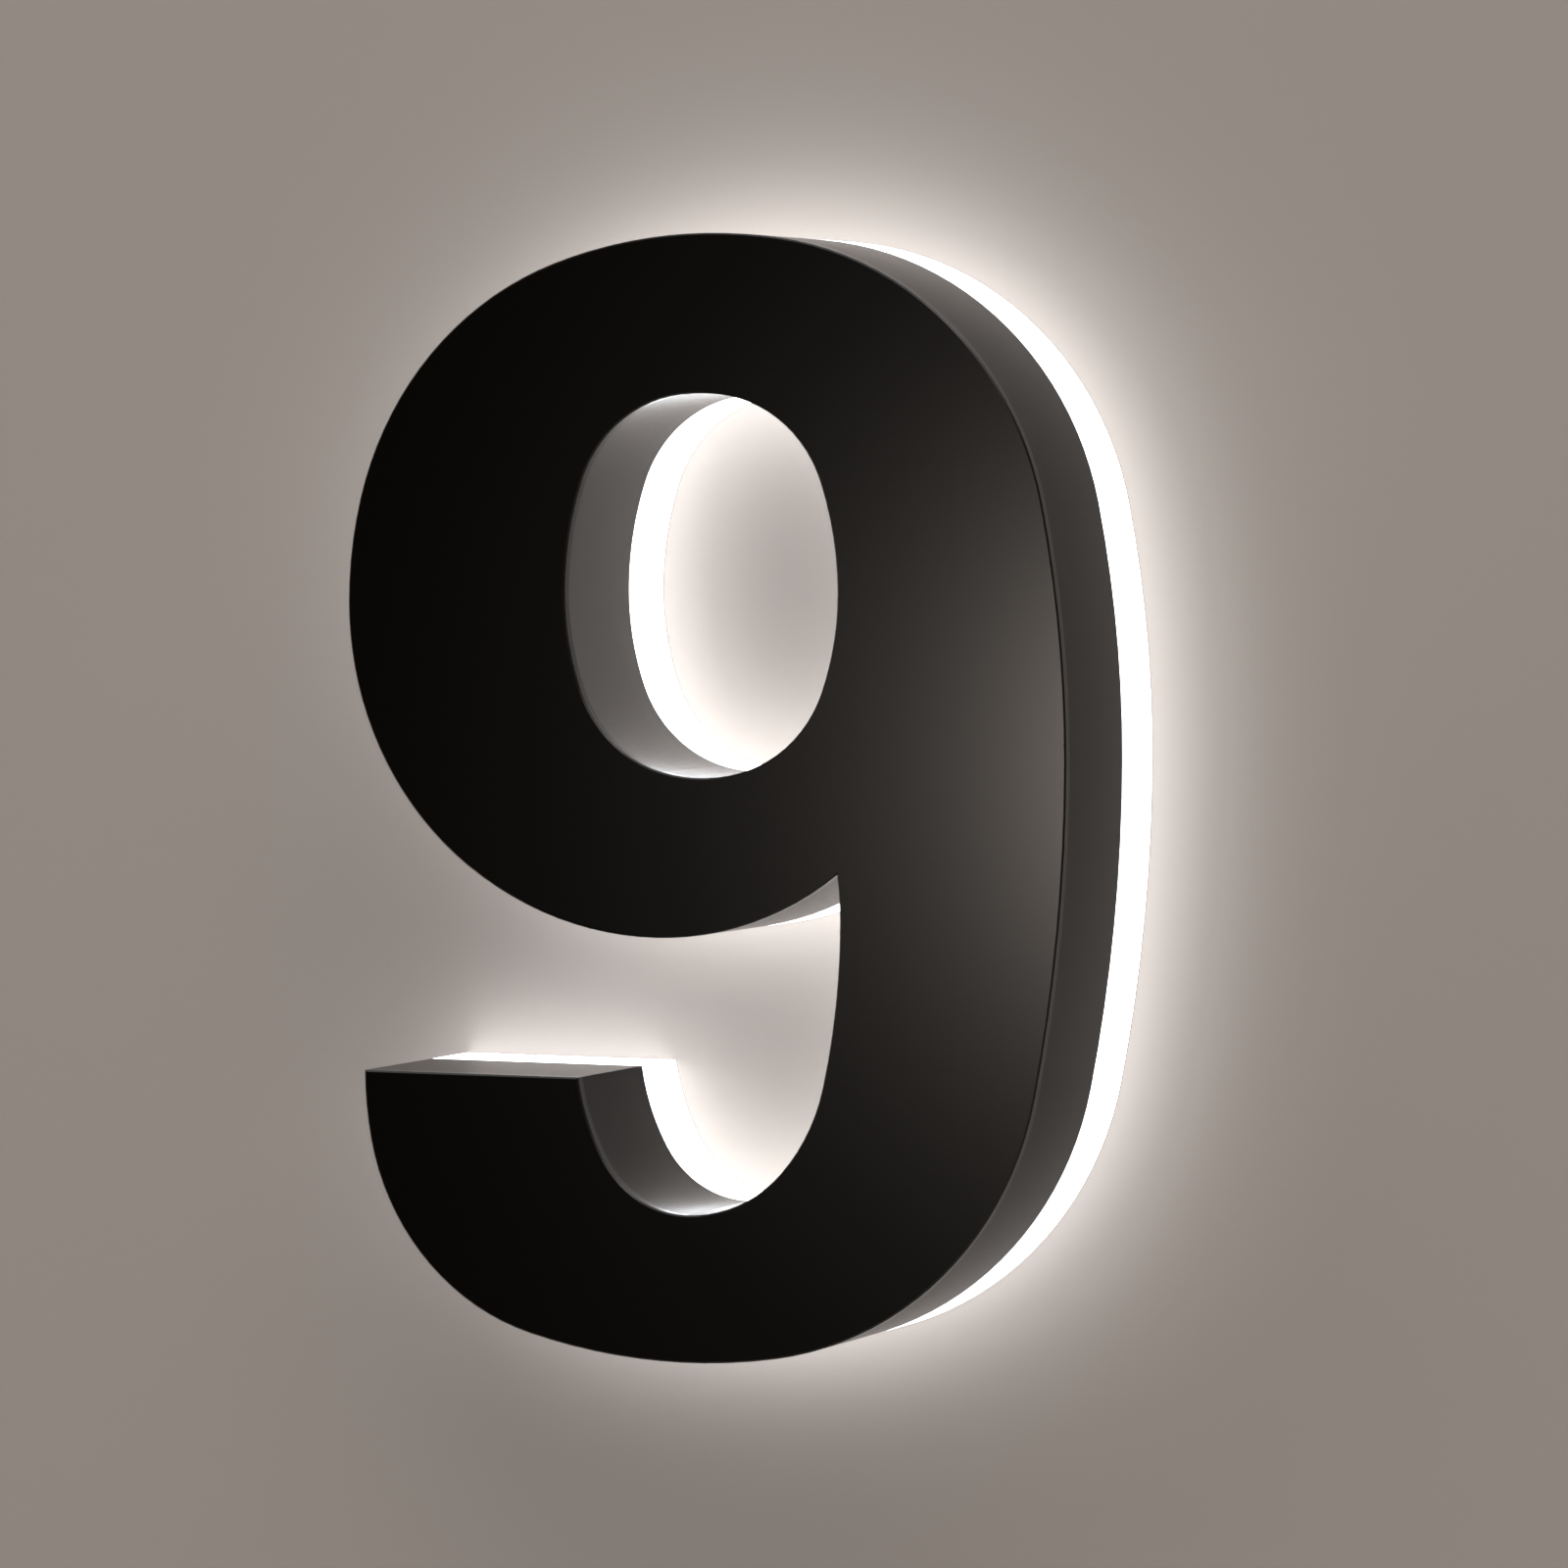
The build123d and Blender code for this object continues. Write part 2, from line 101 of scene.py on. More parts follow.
# %% Colour and node helpers
def linear(hex_colour):
    """sRGB hex to linear RGBA: c/12.92 below 0.04045, else ((c + 0.055) / 1.055) to the 2.4."""
    c = np.array([int(hex_colour[i : i + 2], 16) for i in (1, 3, 5)]) / 255
    c = np.where(c <= 0.04045, c / 12.92, ((c + 0.055) / 1.055) ** 2.4)
    return (*c.tolist(), 1.0)


def put(tree, kind, values=None, links=None, **options):
    """Adds one shader node: options are its own settings, values fill sockets, links join them."""
    node = tree.nodes.new(kind)
    for name, value in options.items():
        setattr(node, name, value)
    for socket, value in (values or {}).items():
        node.inputs[socket].default_value = value
    for socket, source in (links or {}).items():
        tree.links.new(source, node.inputs[socket])
    return node


def finish_named(name, colour, roughness, **values):
    """A new material and its surface shader; the other values go to the shader's own sockets."""
    made = bpy.data.materials.new(name)
    made.use_nodes = True
    tree = made.node_tree
    tree.nodes.clear()
    plain = {"Base Color": linear(colour), "Roughness": roughness}
    surface = put(tree, "ShaderNodeBsdfPrincipled", plain)
    for socket, value in values.items():
        surface.inputs[socket.replace("_", " ")].default_value = value
    put(tree, "ShaderNodeOutputMaterial", links={"Surface": surface.outputs["BSDF"]})
    return made, tree, surface


def place_on_object(tree, stretch=(1.0, 1.0, 1.0)):
    """Object coordinates in metres, stretched along the axes for a pattern with a grain."""
    where = put(tree, "ShaderNodeTexCoord").outputs["Object"]
    return put(tree, "ShaderNodeMapping", {"Scale": stretch}, {"Vector": where}).outputs["Vector"]


def grain(tree, where, size_mm, detail=2.0, roughness=0.5):
    """Noise whose lumps are about size_mm across: a noise scale is lumps per metre."""
    lumps = {"Scale": 1 / (size_mm * MM), "Detail": detail, "Roughness": roughness}
    return put(tree, "ShaderNodeTexNoise", lumps, {"Vector": where}).outputs["Fac"]


def ranged(tree, source, low, high):
    """A pattern from 0 to 1 spread over low to high."""
    ends = {"To Min": low, "To Max": high}
    return put(tree, "ShaderNodeMapRange", ends, {"Value": source}).outputs["Result"]


def two_colours(tree, source, dark, pale):
    """A blend between two hex colours by a pattern."""
    colours = {6: linear(dark), 7: linear(pale)}
    return put(tree, "ShaderNodeMix", colours, {0: source}, data_type="RGBA").outputs[2]


def relief(tree, surface, source, height_mm, strength):
    """Bump whose full height is height_mm, joined to the surface."""
    height = {"Distance": height_mm * MM, "Strength": strength}
    bump = put(tree, "ShaderNodeBump", height, {"Height": source})
    tree.links.new(bump.outputs["Normal"], surface.inputs["Normal"])


# %% [markdown]
# ## Black powder coat
# The cap is aluminium sheet with a satin black polyester powder coat. Powder melts into a skin
# with a faint orange peel, about 2 mm from lump to lump, so a lamp's reflection has a soft edge.
# The coat is a dielectric: almost black seen square on, and it mirrors the lit wall at a
# glancing angle, which is why the side walls look grey-brown. Its index starts from a typical
# 1.5. The face, the outer wall and the wall of the eye are one coat that catches different
# shares of the light in the photograph, so each has its own index and roughness, matched to
# what is seen there: the outer wall's low index is painted shade, a weaker reflection, and the
# eye's high index is painted light, a stronger reflection.

# %% Powder coat
def powder_coat(name, low, high, peel_mm, index):
    """The black coat with a roughness from low to high and a peel of the given height."""
    made, tree, surface = finish_named(name, "#060404", high, IOR=index)
    place = place_on_object(tree)
    peel = grain(tree, place, size_mm=2.2, detail=1.0)
    speckle = grain(tree, place, size_mm=0.5, detail=3.0)
    tree.links.new(ranged(tree, speckle, low, high), surface.inputs["Roughness"])
    tree.links.new(two_colours(tree, peel, "#040302", "#050403"), surface.inputs["Base Color"])
    relief(tree, surface, peel, peel_mm, strength=0.3)
    print("made", name)
    return made


face_coat = powder_coat(
    "satin_powder_coat_black", low=0.160, high=0.188, peel_mm=0.002, index=1.42
)
# Painted shade: the outer wall's index of 1.23, below the coat's own, weakens its reflection.
outer_wall_painted_shade_coat = powder_coat(
    "satin_powder_coat_outer_wall_painted_shade", low=0.20, high=0.25, peel_mm=0.002, index=1.23
)
# Painted light: the eye's wall has an index of 1.75, above the coat's own, which strengthens its
# reflection.
eye_wall_painted_light_coat = powder_coat(
    "satin_powder_coat_eye_wall_painted_light", low=0.23, high=0.27, peel_mm=0.004, index=1.75
)

# %% [markdown]
# ## Opal acrylic
# The light band is cast opal acrylic, 6 mm thick and lit from behind. White pigment scatters the
# light so well that no lamp shows, so the whole band is one even white. It is brighter than
# white paper: the strength is more than 1, and the wall takes its halo from it. The parts that
# the cap covers pass much less light on, so they get a finish that only just glows.


# %% Opal acrylic
def opal_acrylic(name, strength):
    """Satin opal sheet with faint saw marks along its edge, giving light of the given strength."""
    glow = dict(Emission_Color=linear("#f5f9ff"), Emission_Strength=strength)
    made, tree, surface = finish_named(name, "#f2f0ea", 0.38, IOR=1.49, **glow)
    saw_marks = grain(tree, place_on_object(tree, stretch=(1.0, 0.08, 1.0)), size_mm=0.4)
    cloud = grain(tree, place_on_object(tree), size_mm=9.0)
    tree.links.new(two_colours(tree, cloud, "#ece9e2", "#f6f4ef"), surface.inputs["Base Color"])
    tree.links.new(ranged(tree, saw_marks, 0.34, 0.44), surface.inputs["Roughness"])
    relief(tree, surface, saw_marks, height_mm=0.006, strength=0.5)
    print("made", name)
    return made


opal_lit = opal_acrylic("opal_acrylic_lit", strength=3.2)
opal_covered = opal_acrylic("opal_acrylic_covered", strength=0.15)

# %% [markdown]
# ## Metals
# The back plate is mill-finish aluminium: the rolls leave fine straight lines along the sheet
# and a cloudy film of oxide. Screws are stainless steel, turned and polished, the inserts brass.
# Metals take their colour in the reflection, so they are fully metallic, and what changes over
# the surface is the roughness and a very low relief.


# %% Metal finishes
def rolled_metal(name, dark, pale, low, high, line_mm, height_mm, stretch=(1.0, 1.0, 1.0)):
    """A metal with lines, which drive its roughness, tone and relief.

    The lines are noise stretched along one axis, and a slow cloud is added: lines + (cloud - 1/2)
    times its share, which leaves the middle of the tone where it was.
    """
    share = 0.25
    made, tree, surface = finish_named(name, pale, high, Metallic=1.0)
    lines = grain(tree, place_on_object(tree, stretch), line_mm, detail=4.0, roughness=0.65)
    cloud = grain(tree, place_on_object(tree), size_mm=14.0, detail=3.0)
    pair = {0: cloud, 2: lines}
    added = put(tree, "ShaderNodeMath", {1: share}, pair, operation="MULTIPLY_ADD").outputs[0]
    level = {1: share / 2}
    both = put(tree, "ShaderNodeMath", level, {0: added}, operation="SUBTRACT").outputs[0]
    tree.links.new(ranged(tree, both, low, high), surface.inputs["Roughness"])
    tree.links.new(two_colours(tree, both, dark, pale), surface.inputs["Base Color"])
    relief(tree, surface, lines, height_mm, strength=0.6)
    print("made", name)
    return made


mill_aluminium = rolled_metal(
    "mill_finish_aluminium", "#a4a7aa", "#e2e4e5", low=0.22, high=0.5,
    line_mm=0.7, height_mm=0.006, stretch=(0.015, 1.0, 1.0),
)
stainless = rolled_metal(
    "stainless_steel_turned", "#a9a8a5", "#c4c3bf", low=0.18, high=0.34,
    line_mm=0.25, height_mm=0.002,
)
brass = rolled_metal(
    "brass_turned", "#b08a45", "#d3ad62", low=0.2, high=0.36, line_mm=0.25, height_mm=0.002
)
blackened_steel = rolled_metal(
    "steel_blackened", "#151414", "#242322", low=0.3, high=0.5, line_mm=0.3, height_mm=0.003
)

# %% [markdown]
# ## Plastics and rubber
# The light modules are white moulded housings potted with resin, with a fine spark-eroded
# texture. The liner is a matt white reflector sheet, the terminal block off-white polyamide and
# the leads have a soft vinyl sheath. The rubber of seals and grommet is matt and nearly black.


# %% Moulded finishes
def moulded(name, dark, pale, low, high, texture_mm, height_mm, **values):
    """A moulded surface: fine texture in relief, and a slow change of tone over 12 mm."""
    made, tree, surface = finish_named(name, pale, high, **values)
    place = place_on_object(tree)
    texture = grain(tree, place, texture_mm)
    cloud = grain(tree, place, size_mm=12.0)
    tree.links.new(two_colours(tree, cloud, dark, pale), surface.inputs["Base Color"])
    tree.links.new(ranged(tree, texture, low, high), surface.inputs["Roughness"])
    relief(tree, surface, texture, height_mm, strength=0.6)
    print("made", name)
    return made


housing_plastic = moulded(
    "white_moulded_housing", "#d9d8d2", "#e8e7e2", low=0.42, high=0.58,
    texture_mm=0.35, height_mm=0.010, IOR=1.53,
)
liner_sheet = moulded(
    "matt_white_reflector", "#e4e3de", "#f0efeb", low=0.7, high=0.9,
    texture_mm=0.6, height_mm=0.010, IOR=1.45,
)
block_plastic = moulded(
    "off_white_polyamide", "#cfcabb", "#dedacc", low=0.35, high=0.5,
    texture_mm=0.4, height_mm=0.008, IOR=1.53,
)
rubber = moulded(
    "black_rubber", "#161514", "#211f1e", low=0.62, high=0.82,
    texture_mm=0.3, height_mm=0.015, IOR=1.52,
)

# %% [markdown]
# ## Give the CAD nodes their finishes
# The shapes of these nodes are right, so they stay, and only their material slots change.

# %% Finish of each CAD node
FINISHES = {
    "face_plate": face_coat,
    "outer_return": outer_wall_painted_shade_coat,
    "counter_return": eye_wall_painted_light_coat,
    "cap_set_screws": blackened_steel,
    "face_liner": liner_sheet,
    "outer_light_ring": opal_covered,
    "counter_light_ring": opal_covered,
    "outer_cap_seal": rubber,
    "counter_cap_seal": rubber,
    "ring_inserts": brass,
    "back_plate": mill_aluminium,
    "plate_screws": stainless,
    "cable_grommet": rubber,
    "terminal_block": block_plastic,
    "terminal_screws": stainless,
    "module_leads": block_plastic,
}


def dress(piece, material):
    """Puts one material on every slot of a piece."""
    piece.data.materials.clear()
    piece.data.materials.append(material)


for name, node in nodes.items():
    if name.startswith("led_"):
        dress(node, housing_plastic)
    else:
        dress(node, FINISHES[name])
print("dressed", len(nodes), "CAD nodes")

# %% [markdown]
# ## The shining band
# Only the strip of each ring that shows below the cap shines at full strength. It is one chain
# of upright faces round the outline, with the small chamfer beside the wall, so a copy of the
# ring's mesh is walked from one face of that strip to its neighbours, and every face that is
# reached gets the bright finish. Faces that lie flat to the wall stop the walk. The copy then
# stands for the CAD ring.


# %% Lit strips of the rings
MERGE = 0.0005 * MM
FLAT_TO_WALL = 0.8
CREASE = radians(30.0)


def at(face):
    """The middle of a face."""
    return face.calc_center_median()


def lit_ring(node_name, name, distance):
    """A copy of a ring with a bright strip: faces joined to the one with the least distance."""
    work = bmesh.new()
    work.from_mesh(nodes[node_name].data)
    bmesh.ops.remove_doubles(work, verts=work.verts, dist=MERGE)
    upright = {f for f in work.faces if abs(f.normal.y) < FLAT_TO_WALL}
    strip = [min(upright, key=distance)]
    reached = set(strip)
    for face in strip:
        near = {f for edge in face.edges for f in edge.link_faces} & upright - reached
        reached |= near
        strip += near
    for face in work.faces:
        face.material_index = int(face in reached)
    mesh = bpy.data.meshes.new(name)
    work.to_mesh(mesh)
    work.free()
    mesh.materials.append(opal_covered)
    mesh.materials.append(opal_lit)
    if "custom_normal" in mesh.attributes:
        mesh.attributes.remove(mesh.attributes["custom_normal"])
    mesh.shade_smooth()
    mesh.set_sharp_from_angle(angle=CREASE)
    ring = bpy.data.objects.new(name, mesh)
    bpy.context.scene.collection.objects.link(ring)
    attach(ring, "light_unit")
    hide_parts(node_name)
    print(name, "lit faces", len(strip), "of", len(mesh.polygons))


low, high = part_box("counter_light_ring")
eye = (low + high) / 2
lit_ring("outer_light_ring", "outer_band", lambda face: -at(face).x)
lit_ring("counter_light_ring", "counter_band", lambda face: (at(face) - eye).xz.length)

# %% [markdown]
# ## Surfaces from numbers
# The small pieces that the CAD leaves plain are turned or punched: screws with a driver's
# recess, moulded lenses, light chips. Each is one surface over two parameters: a row of the
# profile gives the radius and the height, the angle goes round, and a share says how far that
# row's circle gives way to another outline, such as the hexagon of a socket. All copies are
# worked out in one array, so there is no loop over points.


# %% Grid surfaces
TURNED_CREASE = radians(35.0)


def surface_piece(name, points, body, materials, bands=None):
    """A mesh from points[copy, row, column, xyz] whose columns close on themselves.

    Neighbouring rows and columns are joined by four-sided faces. Rows that shrink to a point are
    merged, so poles are closed, and the normals are then turned outwards.
    bands gives each row's material number.
    """
    copies, rows, columns, _ = points.shape
    row, column = np.meshgrid(np.arange(rows - 1), np.arange(columns), indexing="ij")
    after = (column + 1) % columns
    here, above = row * columns, (row + 1) * columns
    corners = [here + column, here + after, above + after, above + column]
    one = np.stack(corners, axis=-1).reshape(-1, 4)
    faces = (one[None] + (np.arange(copies) * rows * columns)[:, None, None]).reshape(-1, 4)
    mesh = bpy.data.meshes.new(name)
    mesh.from_pydata(points.reshape(-1, 3).tolist(), [], faces.tolist())
    for material in materials:
        mesh.materials.append(material)
    if bands is not None:
        chosen = np.tile(np.repeat(np.asarray(bands, np.int32), columns), copies)
        mesh.polygons.foreach_set("material_index", chosen)
    work = bmesh.new()
    work.from_mesh(mesh)
    bmesh.ops.remove_doubles(work, verts=work.verts, dist=MERGE)
    bmesh.ops.recalc_face_normals(work, faces=work.faces)
    work.to_mesh(mesh)
    work.free()
    mesh.shade_smooth()
    mesh.set_sharp_from_angle(angle=TURNED_CREASE)
    piece = bpy.data.objects.new(name, mesh)
    bpy.context.scene.collection.objects.link(piece)
    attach(piece, body)
    print(name, "copies", copies, "faces", len(mesh.polygons))
    return piece


def turned(profile, angles, recess=None):
    """One turned piece, points[row, column, (across, aside, along)] in metres.

    profile rows are (radius, height, share) in millimetres. The radius at angle t is
    radius * (1 - share) + recess(t) * share, and the point is (r cos t, r sin t, height).
    """
    radius, height, share = (np.array(profile, float) * (MM, MM, 1)).T
    reach = radius[:, None] * np.ones_like(angles)
    if recess is not None:
        reach = reach * (1 - share[:, None]) + recess(angles) * MM * share[:, None]
    lift = np.broadcast_to(height[:, None], reach.shape)
    return np.stack([reach * np.cos(angles), reach * np.sin(angles), lift], axis=-1)


def set_in_place(points, origins, across, along):
    """Copies of points[row, column, 3] at origins[copy], with their own across and along axes."""
    across = np.broadcast_to(across, origins.shape)
    along = np.broadcast_to(along, origins.shape)
    axes = np.stack([across, np.cross(along, across), along], axis=1)
    return np.einsum("rck,nkj->nrcj", points, axes) + origins[:, None, None, :]


def polygon(half_flats, sides):
    """Outline of a regular polygon round the axis: half_flats / cos of the angle from a flat."""
    step = 2 * pi / sides
    return lambda t: half_flats / np.cos((t + step / 2) % step - step / 2)


def long_slot(half_length, half_width):
    """Outline of a driver's slot round the axis: the nearer of its ends and its sides."""
    tiny = 1e-9
    return lambda t: np.minimum(
        half_length / np.maximum(np.abs(np.cos(t)), tiny),
        half_width / np.maximum(np.abs(np.sin(t)), tiny),
    )


# %% [markdown]
# ## Where the pieces go
# The places come from the CAD nodes themselves. A node such as the plate's screws holds eleven
# separate solids, which are told apart by their distance, and a long solid's direction is the
# direction in which its points spread most.


# %% Read places from the frame
def points_of(name):
    """The points of a CAD node as an array."""
    found = np.empty(len(nodes[name].data.vertices) * 3, np.float32)
    nodes[name].data.vertices.foreach_get("co", found)
    return found.reshape(-1, 3).astype(float)


def separate_pieces(name, reach_mm):
    """The points of each solid in a node: those within reach of its first, seen on the wall."""
    left, found = points_of(name), []
    while len(left):
        near = np.linalg.norm((left - left[0])[:, [0, 2]], axis=1) < reach_mm * MM
        found.append(left[near])
        left = left[~near]
    return found


def middle(points):
    """The middle of the points' box."""
    return (points.min(0) + points.max(0)) / 2


def spread(points, most=True):
    """Unit direction in which the points spread most, or least."""
    directions = np.linalg.eigh(np.cov((points - points.mean(0)).T))[1]
    return directions[:, -1 if most else 0]


INTO_WALL = np.array([0.0, 1.0, 0.0])
TO_READER = -INTO_WALL
RIGHT = np.array([1.0, 0.0, 0.0])
module_names = sorted(n for n in nodes if n.startswith("led_module_"))
module_middles = np.array([middle(points_of(n)) for n in module_names])
module_ways = np.array([spread(points_of(n)) for n in module_names])
module_ways[:, 1] = 0
module_ways /= np.linalg.norm(module_ways, axis=1)[:, None]
steps = np.diff(module_middles, axis=0, append=2 * module_middles[-1:] - module_middles[-2:-1])
module_ways *= np.sign((module_ways * steps).sum(1))[:, None]
print("modules:", len(module_names))

# %% [markdown]
# ## Screws
# The plate's screws are countersunk M3 with a hexagon socket, flush with the back. The cap's
# screws are M3 grub screws, backed off inside the side wall. Their sockets are broached: a
# hexagon that starts from a round countersink and ends in the drill's cone. The CAD's plain
# cylinders are replaced by these. A profile is read from the socket's floor over the head to the
# screw's tip, and the thread is a row of ridges and roots by turns.

# %% Countersunk screws
ROUND = np.linspace(0, 2 * pi, 72, endpoint=False)


def thread(radius, depth, heights):
    """Profile rows of a thread: the crest at radius and the root below it by depth, by turns."""
    return [(radius - depth * (i % 2), height, 0) for i, height in enumerate(heights)]


PLATE_SOCKET = 1.0
socket_rows = [(0, 1.45, 0), (PLATE_SOCKET, 1.25, 1), (PLATE_SOCKET, 0.25, 1), (1.22, 0.04, 0)]
head_rows = [(1.3, 0.03, 0), (2.72, 0.03, 0), (2.88, 0.1, 0), (2.88, 0.16, 0), (1.55, 1.5, 0)]
tip_rows = [(1.5, 7.1, 0), (1.15, 7.45, 0), (0, 7.45, 0)]
thread_rows = thread(radius=1.5, depth=0.22, heights=np.linspace(1.9, 7.0, 41))
countersunk = socket_rows + head_rows + [(1.5, 1.8, 0)] + thread_rows + tip_rows

screw_places = np.array([middle(p) for p in separate_pieces("plate_screws", reach_mm=7.0)])
screw_places[:, 1] = 0
plate_screws = surface_piece(
    "countersunk_screws",
    set_in_place(
        turned(countersunk, ROUND, polygon(PLATE_SOCKET, 6)), screw_places, RIGHT, TO_READER
    ),
    "light_unit",
    [stainless],
)
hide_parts("plate_screws")

# %% Grub screws
GRUB_SOCKET = 0.75
HALF_GRUB = 0.8
grub = [(0, 1.15, 0), (GRUB_SOCKET, 1.0, 1), (GRUB_SOCKET, 0.12, 1), (0.92, 0.02, 0)]
grub += [(1.2, 0.0, 0), (1.42, 0.2, 0)]
grub += thread(radius=1.46, depth=0.16, heights=0.3 + 0.12 * np.arange(9))
grub += [(1.2, 1.6, 0), (0, 1.6, 0)]
grub_points = separate_pieces("cap_set_screws", reach_mm=6.0)
grub_middles = np.array([middle(p) for p in grub_points])
grub_axes = np.array([spread(p, most=False) for p in grub_points])
grub_axes *= -np.sign((grub_axes * grub_middles * (1, 0, 1)).sum(1))[:, None]
grub_places = grub_middles - grub_axes * HALF_GRUB * MM
cap_screws = surface_piece(
    "grub_screws",
    set_in_place(
        turned(grub, ROUND, polygon(GRUB_SOCKET, 6)), grub_places, INTO_WALL, grub_axes
    ),
    "cap",
    [blackened_steel],
)
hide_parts("cap_set_screws")

# %% [markdown]
# ## Lenses and light chips
# Each module has two chips, square white packages with a disc of yellow phosphor, and over each
# chip a moulded lens: a dome outside, a hollow inside, on a thin rim. The chip shines, so its
# phosphor gives light of its own. Clear acrylic bends light with an index of 1.49.

# %% Lens and chip finishes
CLEAR = dict(IOR=1.49, Transmission_Weight=0.92)
lens_resin, tree, surface = finish_named("clear_acrylic_lens", "#fbfbf8", 0.06, **CLEAR)
swirl = grain(tree, place_on_object(tree), size_mm=1.5, detail=1.0)
tree.links.new(ranged(tree, swirl, 0.04, 0.1), surface.inputs["Roughness"])
relief(tree, surface, swirl, height_mm=0.004, strength=0.3)

chip_case = moulded(
    "white_chip_ceramic", "#e6e5e0", "#f3f2ee", low=0.4, high=0.55,
    texture_mm=0.2, height_mm=0.004, IOR=1.6,
)
SHINE = dict(Emission_Color=linear("#fff3d8"), Emission_Strength=3.0)
phosphor = moulded(
    "yellow_phosphor_lit", "#e8c95a", "#f2d878", low=0.5, high=0.6,
    texture_mm=0.15, height_mm=0.004, IOR=1.5, **SHINE,
)

# %% Where the lenses sit
LENS_PITCH = 10.0
sides = np.array([-0.5, 0.5]) * LENS_PITCH * MM
lens_seats = module_middles[:, None, :] + module_ways[:, None, :] * sides[None, :, None]
lens_seats = lens_seats.reshape(-1, 3)
lens_seats[:, 1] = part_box(module_names[0])[0].y
lens_ways = np.repeat(module_ways, 2, axis=0)
print("lenses:", len(lens_seats))

# %% Lenses
RIM_TOP, DOME_RADIUS, DOME_RISE = 0.5, 2.55, 1.38
HOLLOW_RADIUS, HOLLOW_RISE, HOLLOW_FLOOR = 1.95, 0.92, 0.08
hollow = [
    (HOLLOW_RADIUS * np.sin(a), HOLLOW_FLOOR + HOLLOW_RISE * np.cos(a), 0)
    for a in np.linspace(0, pi / 2, 10)
]
rim = [(2.0, 0.02, 0), (2.8, 0.02, 0), (2.88, 0.1, 0), (2.88, 0.42, 0), (2.8, RIM_TOP, 0)]
dome = [
    (DOME_RADIUS * np.cos(a), RIM_TOP + DOME_RISE * np.sin(a), 0)
    for a in np.linspace(0, pi / 2, 14)
]
lens_profile = hollow + rim + dome
lenses = surface_piece(
    "lens_optics",
    set_in_place(turned(lens_profile, ROUND[::2]), lens_seats, lens_ways, TO_READER),
    "light_unit",
    [lens_resin],
)
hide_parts(*[n for n in nodes if n.startswith("led_lenses_")])

# %% Chips
HALF_CHIP = 1.25
case_rows = [(0, 0.01, 1), (HALF_CHIP, 0.01, 1), (HALF_CHIP, 0.42, 1)]
case_rows += [(1.17, 0.5, 1), (0.95, 0.5, 0)]
phosphor_rows = [(0.88, 0.4, 0), (0.6, 0.46, 0), (0, 0.48, 0)]
chips = surface_piece(
    "light_chips",
    set_in_place(
        turned(case_rows + phosphor_rows, ROUND[::2] + pi / 4, polygon(HALF_CHIP, 4)),
        lens_seats,
        lens_ways,
        TO_READER,
    ),
    "light_unit",
    [chip_case, phosphor],
    bands=[0] * len(case_rows) + [1] * (len(phosphor_rows) - 1),
)

# %% [markdown]
# ## Leads
# Twin leads run from module to module. Each core is a round sheath laid beside its twin, and a
# run is a smooth curve that leaves one housing straight and enters the next straight. The cores
# sag towards the plate in between. The curve is a cubic one with four control points, and the
# tube's surface is the curve plus a circle in the plane across it.


# %% Leads
SHEATH = dict(low=0.32, high=0.46, texture_mm=0.5, height_mm=0.006, IOR=1.53)
white_sheath = moulded("white_vinyl_sheath", "#d8d6cf", "#e6e4de", **SHEATH)
red_sheath = moulded("red_vinyl_sheath", "#8a2019", "#9c2a22", **SHEATH)

LEAD_DEPTH = middle(points_of("module_leads"))[1]
HALF_MODULE, HALF_BLOCK = 11.0, 5.0
block_angle = radians(180 + 35.0)
block_way = np.array([np.cos(block_angle), 0.0, np.sin(block_angle)])
block_end = middle(points_of("terminal_block")) + block_way * HALF_BLOCK * MM
starts = np.vstack([block_end, module_middles[:-1] + module_ways[:-1] * HALF_MODULE * MM])
start_ways = np.vstack([block_way, module_ways[:-1]])
ends = module_middles - module_ways * HALF_MODULE * MM
starts[:, 1] = ends[:, 1] = LEAD_DEPTH
print("runs in mm:", np.round(np.linalg.norm(ends - starts, axis=1) / MM, 1))

# %% Curves of the leads
PULL, SAG = 0.37, 0.45
reach = PULL * np.linalg.norm(ends - starts, axis=1)[:, None]
knots = np.stack([starts, starts + start_ways * reach, ends - module_ways * reach, ends], axis=1)
t = np.linspace(0, 1, 24)
cubic = np.stack([(1 - t) ** 3, 3 * (1 - t) ** 2 * t, 3 * (1 - t) * t**2, t**3], axis=1)
line = np.einsum("tk,nkj->ntj", cubic, knots)
line[:, :, 1] += SAG * MM * np.sin(pi * t) ** 2
ahead = np.gradient(line, axis=1)
ahead /= np.linalg.norm(ahead, axis=2, keepdims=True)
aside = np.cross(INTO_WALL, ahead)
aside /= np.linalg.norm(aside, axis=2, keepdims=True)
above = np.cross(ahead, aside)
print("curves:", line.shape[0], "points each:", line.shape[1])

# %% Cores of the leads
CORE_RADIUS, CORE_SPREAD = 0.62, 1.02
around = np.linspace(0, 2 * pi, 16, endpoint=False)[:, None]


def core(side):
    """One core of the twin: the run's curve, moved aside by a radius, plus a circle across it."""
    centre = line + aside * side * CORE_RADIUS * MM
    ring = aside[:, :, None, :] * np.cos(around) + above[:, :, None, :] * np.sin(around)
    return centre[:, :, None, :] + ring * CORE_RADIUS * MM


white_cores = surface_piece("lead_cores_white", core(-CORE_SPREAD), "light_unit", [white_sheath])
red_cores = surface_piece("lead_cores_red", core(CORE_SPREAD), "light_unit", [red_sheath])
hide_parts("module_leads")

# %% [markdown]
# ## Terminal screws
# Slotted steel screws clamp the supply's wires. The slot is a long rectangle sunk in the head,
# drawn with the same turned surface as the sockets. The angles of the slot's own corners are
# added to the even ones, so that its ends come out square.

